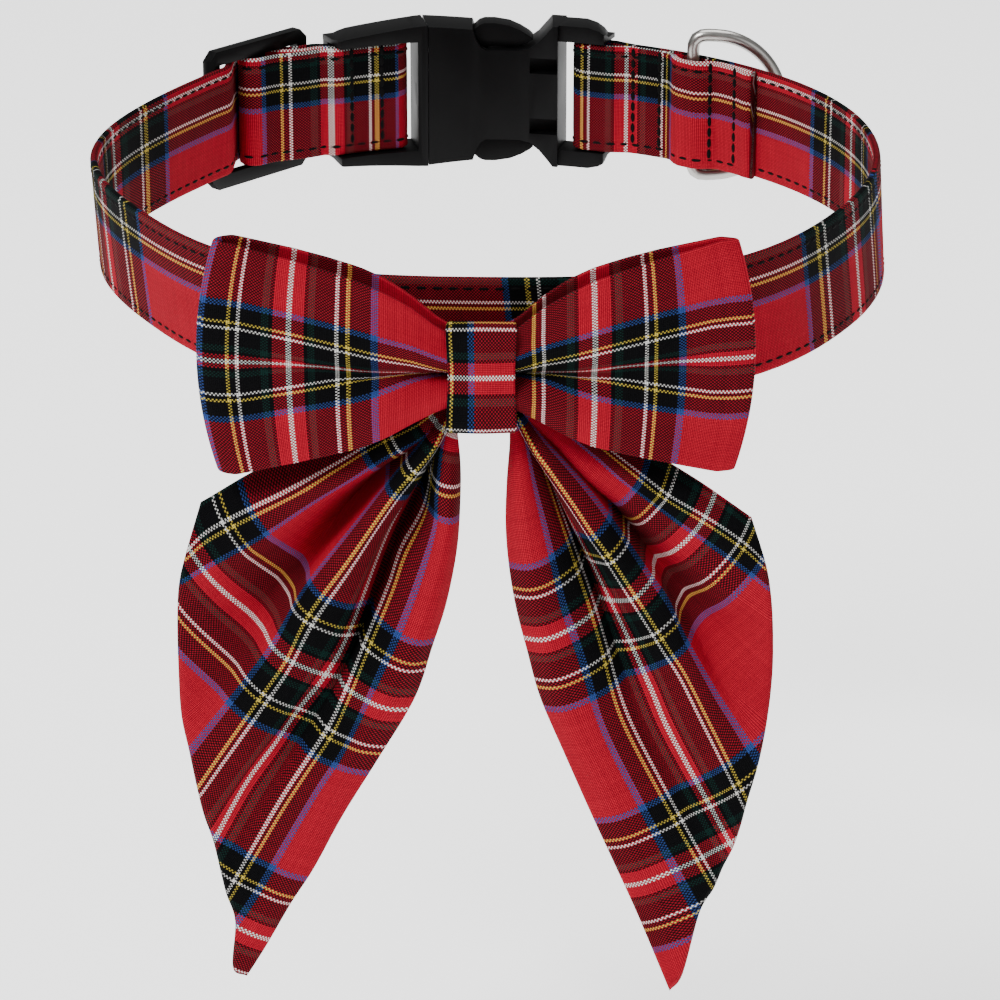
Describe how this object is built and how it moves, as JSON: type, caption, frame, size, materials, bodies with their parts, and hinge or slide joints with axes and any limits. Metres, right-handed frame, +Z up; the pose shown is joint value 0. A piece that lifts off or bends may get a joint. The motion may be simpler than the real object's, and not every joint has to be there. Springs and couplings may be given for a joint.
{
  "type": "pet bow tie collar",
  "caption": "Fastened tartan pet collar with a slider, side-release buckle, turning D-ring, and a bow with two pleated tails.",
  "frame": {"origin": "middle of the neck ring, at half the strap's height, where the neck goes", "axes": "+Z up along the neck, +Y to the buckle at the back, -Y to the bow, +X to the bow's right-hand loop as seen from the front"},
  "size_m": [0.1672, 0.1894, 0.163],
  "materials": {
    "tartan_cloth": "plain-woven cotton in a traditional red tartan, matt",
    "black_plastic": "moulded acetal, satin black with a fine grain",
    "nickel_steel": "satin nickel-plated steel wire"
  },
  "bodies": {
    "collar": {"collar_strap": "tartan_cloth", "slider": "black_plastic", "buckle_male": "black_plastic", "buckle_female": "black_plastic", "bow_loops": "tartan_cloth", "bow_tail_left": "tartan_cloth", "bow_tail_right": "tartan_cloth", "knot_band": "tartan_cloth"},
    "ring": {"d_ring": "nickel_steel"}
  },
  "joints": [
    {"name": "d_ring_swing", "type": "hinge", "parent": "collar", "child": "ring", "pos_m": [0.04578, 0.06778, 0], "axis": [0, 0, 1], "range_deg": [-12, 115]}
  ]
}
